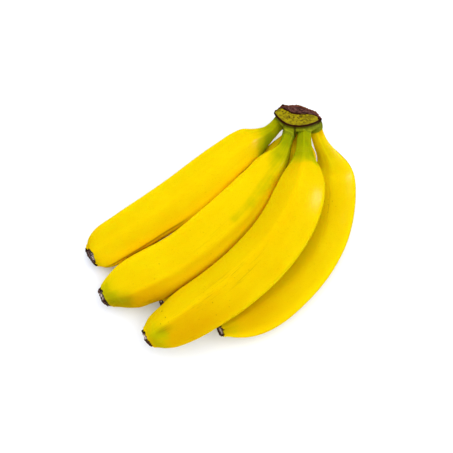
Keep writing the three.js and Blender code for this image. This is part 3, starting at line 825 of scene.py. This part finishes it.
def crown(material):
    sections = np.array(CROWN)
    fine = np.linspace(0, len(sections) - 1, 110)
    rings = curve(sections.reshape(len(sections), -1), fine)[0].reshape(len(fine), 5, 3)
    edge = 14
    loop = []
    for k in range(5):
        a, b = rings[:, k], rings[:, (k + 1) % 5]
        for j in range(edge):
            loop.append(a + (b - a) * (j / edge))
    loop = np.stack(loop, 1)
    rows, count = loop.shape[:2]
    points = loop.reshape(-1, 3)
    grid = np.arange(rows * count).reshape(rows, count)
    nxt = np.roll(grid, -1, axis=1)
    quads = np.stack([grid[:-1], nxt[:-1], nxt[1:], grid[1:]], -1).reshape(-1, 4)
    ends = [points[grid[0]].mean(0), points[grid[-1]].mean(0)]
    first, last = rows * count, rows * count + 1
    tris = [(nxt[0, j], grid[0, j], first) for j in range(count)] + [(grid[-1, j], nxt[-1, j], last) for j in range(count)]
    all_points = [np.concatenate([points, ends])]
    all_quads, all_tris, base = [quads], [np.array(tris)], len(points) + 2
    # A short sleeve from the crown over the root of each stalk.
    stalks = {}
    for name, spec in FRUITS.items():
        start, reach = SLEEVES[name]
        arcs = np.linspace(start, reach, 26)
        centre, way, half, s, _ = centre_line(spec["spine"], arcs)
        stalks[name] = (centre, arcs)
        normal = np.array(spec["binormal"])
        side = unit(normal - (way @ normal)[:, None] * way)
        out = np.cross(way, side)
        around = np.radians(np.arange(48) * 7.5)
        half = half * (1 - LOOKS[name].get("thin", 0) * smooth(7.0, -1.0, arcs))
        ring_s, ring_f = zip(*LOOKS[name]["ridge"])
        turn = np.radians(np.interp(s, ring_s, ring_f))[:, None]
        width = (half[:, None] * (0.985 + 0.045 * np.cos(5 * (around - turn)))) + 0.30 + (0.35 * smooth(reach, reach - 3.0, arcs) + 0.5 * smooth(2.0, -3.0, arcs))[:, None]
        tube = centre[:, None, :] + (out[:, None, :] * np.cos(around)[None, :, None] - side[:, None, :] * np.sin(around)[None, :, None]) * width[..., None]
        grid2 = np.arange(26 * 48).reshape(26, 48)
        nxt2 = np.roll(grid2, -1, axis=1)
        q = np.stack([grid2[:-1], grid2[1:], nxt2[1:], nxt2[:-1]], -1).reshape(-1, 4) + base
        t = [(nxt2[0, j], grid2[0, j], 26 * 48) for j in range(48)] + [(grid2[-1, j], nxt2[-1, j], 26 * 48 + 1) for j in range(48)]
        all_points.append(np.concatenate([tube.reshape(-1, 3), centre[:1], centre[-1:]]))
        all_quads.append(q)
        all_tris.append(np.array(t) + base)
        base += 26 * 48 + 2
    rough = new_mesh("crown_rough", np.concatenate(all_points), np.concatenate(all_quads), np.concatenate(all_tris))
    remesh = rough.modifiers.new("one", "REMESH")
    remesh.mode, remesh.voxel_size = "VOXEL", 0.00038
    made = bpy.data.meshes.new_from_object(rough.evaluated_get(bpy.context.evaluated_depsgraph_get()))
    bpy.data.objects.remove(rough)
    made.name = "crown_cap"
    obj = bpy.data.objects.new("crown_cap", made)
    bpy.context.scene.collection.objects.link(obj)
    v = np.empty(len(made.vertices) * 3, np.float32)
    made.vertices.foreach_get("co", v)
    v = v.reshape(-1, 3).astype(float) / MM
    ends = np.empty(len(made.edges) * 2, np.int32)
    made.edges.foreach_get("vertices", ends)
    ends = ends.reshape(-1, 2)
    links = np.bincount(ends.ravel(), minlength=len(v)).astype(float)

    def relax(values, turns, share=0.5):
        for _ in range(turns):
            total = np.zeros_like(values)
            np.add.at(total, ends[:, 0], values[ends[:, 1]])
            np.add.at(total, ends[:, 1], values[ends[:, 0]])
            pull = total / (links[:, None] if values.ndim == 2 else links) - values
            values = values + (share[:, None] if values.ndim == 2 and np.ndim(share) else share) * pull
        return values

    v = relax(v, 5)

    def nearest(samples, p):
        tree = KDTree(len(samples))
        for i, c in enumerate(samples):
            tree.insert(Vector(c), i)
        tree.balance()
        found = [tree.find(Vector(c)) for c in p]
        return np.array([x[1] for x in found]), np.array([x[2] for x in found])

    where, gap = nearest(points, v)
    ring_at, loop_at = where // count, where % count
    along = ring_at / (rows - 1)
    region, across = loop_at // edge, (loop_at % edge) / edge
    dense = np.linspace(0, len(sections) - 1, 900)
    curves = curve(sections.reshape(len(sections), -1), dense)[0].reshape(len(dense), 5, 3)
    near_f = nearest(curves[:, 0], v)[1]
    near_r = nearest(curves[:, 1], v)[1]
    near_b = nearest(curves[:, 2], v)[1]

    def shade():
        made.vertices.foreach_set("co", (v * MM).astype(np.float32).ravel())
        made.update()
        n = np.empty(len(made.vertices) * 3, np.float32)
        made.vertices.foreach_get("normal", n)
        return n.reshape(-1, 3).astype(float)

    # The collar flows into the stalks, while the cut's edges stay crisp.
    v = relax(v, 26, 0.5 * smooth(0.8, 2.6, np.minimum(np.minimum(near_f, near_r), near_b)))
    normals = shade()
    on_cap = gap < 1.6
    face = relax(((region == 0) & on_cap).astype(float), 3)
    dark = relax(((region == 1) & on_cap).astype(float), 3)
    ragged = noise(v, 2.2, 5, 2)
    lift = 0.55 * bell(near_f, 0, 0.9) * (0.75 + 0.45 * ragged)
    lift = lift + 0.55 * bell(near_b, 0, 0.9) * (0.5 + 1.5 * noise(v, 1.2, 6, 2))
    lift = lift + 0.35 * bell(near_r, 0, 0.8) * (0.6 + 0.8 * noise(v, 1.5, 7, 2))
    fibre_at = v * np.array([0.45, 1.0, 1.0])
    lift = lift + 0.9 * bell(along, 0.26, 0.05) * bell(near_b, 0, 1.3)
    lift = lift + dark * (-0.55 * smooth(0.8, 3.0, np.minimum(near_r, near_b)) + 0.40 * noise(fibre_at, 1.2, 8, 3))
    lift = lift + face * (-0.25 * smooth(0.6, 3.0, np.minimum(near_r, near_f)) + 0.14 * noise(v, 2.4, 9, 2))
    side = 1 - np.clip(face + dark, 0, 1)
    # A groove under the rim, and creases where two stalks part.
    away = {name: nearest(line, v)[1] for name, (line, _) in stalks.items()}
    crease = np.zeros(len(v))
    for one, two in (("banana_left", "banana_upper"), ("banana_upper", "banana_top"), ("banana_top", "banana_right")):
        crease = np.maximum(crease, bell(away[one] - away[two], 0, 0.75) * smooth(8.5, 6.0, np.maximum(away[one], away[two])))
    crease = crease * side * smooth(1.5, 3.0, near_f)
    lift = lift - side * (0.40 * bell(near_f, 2.0, 0.9) + 0.55 * crease)
    lift = lift + side * (0.14 * noise(v, 2.0, 10, 2) + 0.06 * noise(v, 0.9, 14))
    # Scars of the bracts: low ledges around the sleeves.
    scale = np.zeros(len(v))
    for name, (line, arcs) in stalks.items():
        idx, off = nearest(line, v)
        d = arcs[idx] + 0.55 * noise(v, 3.0, 12) + 0.25 * noise(v, 1.2, 15)
        mine = (off < 8.0) & (gap > 0.35)
        for at in (SLEEVES[name][1] - 0.8,):
            ledge = bell(d, at, 0.55) * mine * smooth(-0.6, 0.1, noise(v, 4.0, 16))
            scale = np.maximum(scale, ledge)
    scale = scale * side
    lift = lift + 0.18 * scale
    # Scars, creases and scorched edges, from the stroke tables.
    facing = smooth(0.05, 0.3, normals @ TURN[2])
    spot = on_sheet(v) + 0.35 * np.stack([noise(v, 1.6, 21, 2), noise(v, 1.6, 22, 2)], -1)

    pale = facing * strokes(CROWN_PALE, spot) * side
    fold = facing * strokes(CROWN_FOLDS, spot) * side
    burn = facing * strokes(CROWN_BURNS, spot)
    ashen = facing * strokes(CROWN_ASHEN, spot)
    fleck = facing * strokes(CROWN_FLECKS, spot)
    lift = lift + 0.25 * pale - 0.5 * fold + 0.25 * burn
    v = v + normals * lift[:, None]
    normals = shade()
    made.polygons.foreach_set("use_smooth", [True] * len(made.polygons))
    rim = np.maximum(bell(near_f, 0, 0.85) * 1.15, 0.9 * bell(near_r, 0, 0.60 + 0.55 * smooth(0.42, 0.22, along)))
    # The cut's right end is dried dark.
    end = smooth(0.835, 0.875, along + 0.012 * ragged) * smooth(0.05, 0.35, face + dark)
    dark = np.maximum(dark, end)
    face = face * (1 - end)
    rim = np.maximum(rim, 0.9 * bell(near_b, 0, 0.5) * (0.5 + 0.5 * ragged))
    rim = np.maximum(rim, burn)
    scale = np.maximum(0.3 * scale, pale)
    rust = np.clip(np.maximum(bell(near_b, 0.2, 2.0), 0.8 * end) * (0.75 + 0.6 * noise(v, 1.5, 13, 2)), 0, 1)
    # The olive face is paler towards its right end.
    sun = np.clip(smooth(0.72, 0.90, along) * face, 0, 1)
    # The collar is painted darker under the rim and in the creases and folds: painted shade, partly a brown stain.
    paint(obj, face=face, dark=dark, rim=np.clip(rim, 0, 1), rust=rust, sun=0.6 * sun, scale=np.clip(scale * (0.7 + 0.5 * ragged), 0, 1), under=np.clip(side * (0.85 * bell(near_f, 1.3, 1.3) + 0.9 * crease + fold), 0, 1), ashen=ashen, fleck=fleck, grain=v * MM)
    made.materials.clear()
    made.materials.append(material)
    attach(obj, "root")
    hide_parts("crown")
    return obj


# Where the collar starts and ends along each stalk, in millimetres from its root.
SLEEVES = {"banana_left": (-5.0, 4.0), "banana_upper": (-6.0, 4.4), "banana_top": (-6.0, 4.0), "banana_right": (-4.0, 2.4), "banana_under": (0.8, 4.0)}
# Strokes over the crown.
CROWN_PALE = ((278.5, 121.5, 281.5, 126.0, 0.7, 0.7), (284.0, 129.0, 293.0, 133.0, 0.6, 0.85), (303.0, 129.0, 306.5, 131.0, 0.5, 0.7), (308.0, 130.5, 314.0, 130.0, 0.5, 0.6), (313.0, 125.5, 314.0, 129.0, 0.5, 0.3))
CROWN_FOLDS = ((294.6, 127.5, 295.6, 138.0, 0.9, 1.0), (282.0, 128.0, 284.0, 125.0, 0.6, 0.5), (283.5, 128.5, 284.0, 132.0, 0.6, 0.5))
CROWN_BURNS = ((281.3, 106.4, 285.0, 104.0, 1.0, 1.0), (281.3, 106.4, 285.2, 109.5, 1.0, 1.0), (285.2, 109.5, 292.0, 113.2, 0.9, 1.0), (292.0, 113.2, 300.0, 114.6, 0.8, 0.9), (300.0, 114.6, 313.0, 114.4, 0.55, 0.7), (313.0, 114.4, 318.2, 117.5, 0.7, 0.8), (318.2, 117.5, 319.6, 121.5, 0.9, 1.0), (319.6, 121.5, 318.0, 124.0, 0.7, 0.7), (274.8, 112.6, 276.5, 117.5, 0.7, 0.8))
CROWN_ASHEN = ((289.0, 107.5, 298.0, 109.0, 1.6, 0.55), (300.0, 109.5, 309.0, 111.5, 1.2, 0.35))
CROWN_FLECKS = ((282.0, 112.0, 290.0, 117.5, 3.0, 0.5), (290.0, 117.5, 300.0, 119.0, 3.2, 0.6), (300.0, 119.0, 308.0, 119.0, 2.0, 0.3))
crown(crown_material())

# ---------------------------------------------------------------- floor, camera, light

bpy.ops.mesh.primitive_circle_add(vertices=96, radius=4.0, fill_type="NGON", location=(0, 0, -0.0002))
floor = bpy.context.object
floor.name = "table"
floor.data.materials.append(floor_material())
floor.visible_glossy = False

cam_data = bpy.data.cameras.new("view")
cam_data.sensor_fit, cam_data.sensor_width, cam_data.lens = "HORIZONTAL", 36.0, 107.39
cam_data.clip_start, cam_data.clip_end = 0.05, 20.0
cam = bpy.data.objects.new("view", cam_data)
bpy.context.scene.collection.objects.link(cam)
right, up, back = (0.998645, 0.050293, 0.013374), (-0.05204, 0.965106, 0.256638), (0.0, -0.256986, 0.966415)
place = Matrix((right, up, back)).transposed().to_4x4()
place.translation = Vector((3.7947, -259.6084, 1000.1041)) * MM
cam.matrix_world = place
bpy.context.scene.camera = cam


def softbox(name, azimuth, elevation, distance, size, power, target=(0, 0, 0.03)):
    data = bpy.data.lights.new(name, "AREA")
    data.shape, data.size, data.size_y, data.energy = "RECTANGLE", size[0], size[1], power
    obj = bpy.data.objects.new(name, data)
    a, e = math.radians(azimuth), math.radians(elevation)
    way = Vector((math.cos(a) * math.cos(e), math.sin(a) * math.cos(e), math.sin(e)))
    obj.location = Vector(target) + way * distance
    obj.rotation_euler = way.to_track_quat("Z", "Y").to_euler()
    bpy.context.scene.collection.objects.link(obj)
    return obj


softbox("key", -40, 84, 2.2, (1.8, 1.8), 32).visible_glossy = False
softbox("side", 20, 15, 1.6, (0.30, 0.45), 13).visible_diffuse = False

world = bpy.data.worlds.new("room")
world.use_nodes = True
world.node_tree.nodes["Background"].inputs[0].default_value = (1, 1, 1, 1)
world.node_tree.nodes["Background"].inputs[1].default_value = 0.98
world.cycles_visibility.glossy = False
bpy.context.scene.world = world

scene = bpy.context.scene
scene.view_settings.view_transform = "Standard"
scene.view_settings.look = "None"
scene.view_settings.exposure = 0.0
